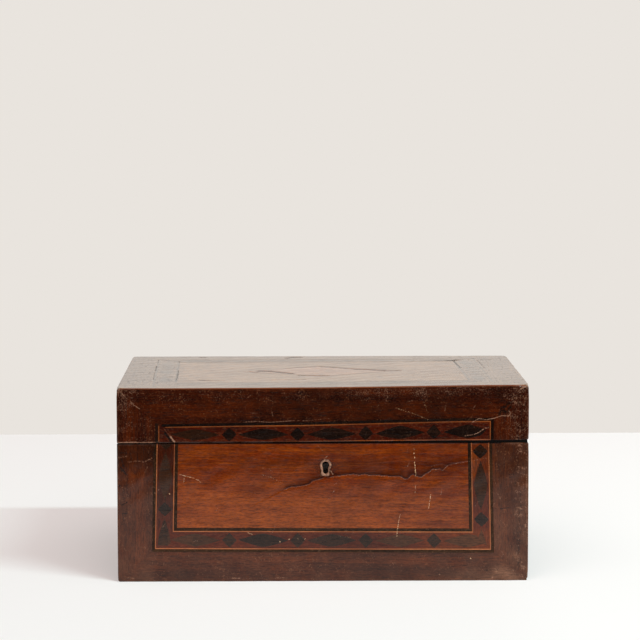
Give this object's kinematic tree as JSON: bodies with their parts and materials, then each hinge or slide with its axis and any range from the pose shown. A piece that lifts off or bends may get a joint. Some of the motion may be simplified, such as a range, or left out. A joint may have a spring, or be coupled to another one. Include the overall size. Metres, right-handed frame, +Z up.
{
  "type": "desk letter box",
  "caption": "Rectangular veneered wooden box with a hinged lid and a box lock; its front and top carry dark and light inlaid lines around a band of lozenges and small diamonds.",
  "frame": {"origin": "middle of the underside, on the surface the box stands on", "axes": "+X to the right along the front, +Y from the front to the hinges at the back, +Z up"},
  "size_m": [0.35, 0.233, 0.1683],
  "materials": {
    "mahogany_border": "worn polish, dark red-brown long grain",
    "mahogany_panel": "worn polish, orange-brown figured grain",
    "mahogany_ground": "worn polish, reddish crossband",
    "mahogany_side": "worn polish, plain brown",
    "ebony": "dense black wood, satin",
    "boxwood": "aged yellow boxwood under old varnish",
    "rhombus_wood": "pinkish light mahogany, worn polish",
    "carcase_wood": "plain planed carcase timber",
    "lining_paper": "old laid paper, foxed",
    "brass": "aged, dull",
    "lock_steel": "old, dark"
  },
  "bodies": {
    "base": {"base_front_board": "carcase_wood", "base_back_board": "carcase_wood", "base_left_board": "carcase_wood", "base_right_board": "carcase_wood", "base_bottom_board": "carcase_wood", "base_left_veneer": "mahogany_side", "base_right_veneer": "mahogany_side", "base_back_veneer": "mahogany_side", "front_border_left": "mahogany_border", "front_border_right": "mahogany_border", "front_border_bottom": "mahogany_border", "front_band_left": "mahogany_ground", "front_band_right": "mahogany_ground", "front_band_bottom": "mahogany_ground", "front_lozenges": "ebony", "front_diamonds": "ebony", "front_ebony_lines": "ebony", "front_boxwood_lines": "boxwood", "front_panel": "mahogany_panel", "base_lining_paper": "lining_paper", "keyhole_escutcheon": "brass", "lock_case": "lock_steel", "lock_selvedge_plate": "brass", "lock_key_pin": "lock_steel", "lock_spring": "lock_steel", "lock_screws": "lock_steel", "hinge_left_lower_leaf": "brass", "hinge_right_lower_leaf": "brass", "hinge_pins": "lock_steel", "base_hinge_screws": "brass"},
    "lid": {"lid_top_board": "carcase_wood", "lid_front_rail": "carcase_wood", "lid_back_rail": "carcase_wood", "lid_left_rail": "carcase_wood", "lid_right_rail": "carcase_wood", "lid_left_veneer": "mahogany_side", "lid_right_veneer": "mahogany_side", "lid_back_veneer": "mahogany_side", "lid_front_border": "mahogany_border", "lid_front_band": "mahogany_ground", "lid_front_lozenges": "ebony", "lid_front_diamonds": "ebony", "lid_front_ebony_lines": "ebony", "lid_front_boxwood_lines": "boxwood", "lid_top_border": "mahogany_border", "lid_top_band": "mahogany_ground", "lid_top_inlays": "ebony", "lid_top_ebony_lines": "ebony", "lid_top_boxwood_lines": "boxwood", "lid_top_panel": "mahogany_panel", "lid_top_rhombus": "rhombus_wood", "lid_lining_paper": "lining_paper", "lock_link_plate": "brass", "link_plate_screws": "lock_steel", "hinge_left_upper_leaf": "brass", "hinge_right_upper_leaf": "brass", "lid_hinge_screws": "brass"},
    "lock_bolt": {"lock_bolt": "lock_steel"}
  },
  "joints": [
    {"name": "lid_hinge", "type": "hinge", "parent": "base", "child": "lid", "pos_m": [0, 0.1131, 0.119], "axis": [-1, 0, 0], "range_deg": [0, 100]},
    {"name": "bolt_slide", "type": "slide", "parent": "base", "child": "lock_bolt", "axis": [1, 0, 0], "range_m": [0, 0.004]}
  ]
}
